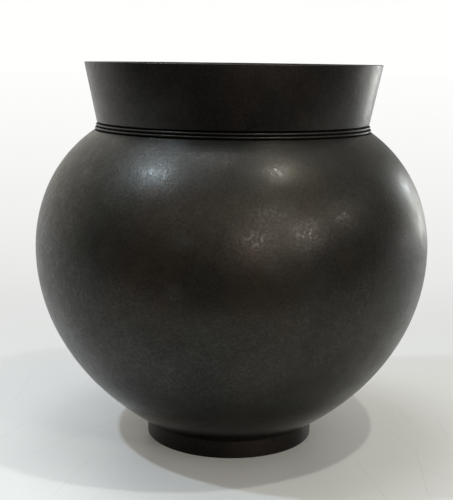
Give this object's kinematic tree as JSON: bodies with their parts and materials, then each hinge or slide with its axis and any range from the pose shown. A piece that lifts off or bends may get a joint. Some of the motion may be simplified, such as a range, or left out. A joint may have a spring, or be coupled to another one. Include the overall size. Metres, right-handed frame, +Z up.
{
  "type": "bronze vase",
  "caption": "Round bronze flower vase: a wide turned globe with a short flared collar, a beaded throat and a low foot ring, open at the mouth.",
  "frame": {"origin": "centre of the foot ring on the surface the vase stands on", "axes": "+Z up along the vase's axis of revolution"},
  "size_m": [0.2512, 0.2512, 0.242],
  "materials": {
    "body_patina": "dark olive-brown bronze patina, lacquered to a soft gloss over a fine cast grain",
    "neck_patina": "near-black bronze patina with faint red-brown patches, soft gloss",
    "foot_patina": "dark red-brown bronze patina, satin",
    "base_bronze": "dull brown bronze, as turned",
    "solder": "dull grey-brown solder left as it flowed"
  },
  "bodies": {
    "root": {"body": "body_patina", "neck": "neck_patina", "foot_ring": "foot_patina", "base_plate": "base_bronze", "neck_solder_seam": "solder", "foot_solder_seam": "solder", "base_plate_solder_seam": "solder"}
  },
  "joints": []
}
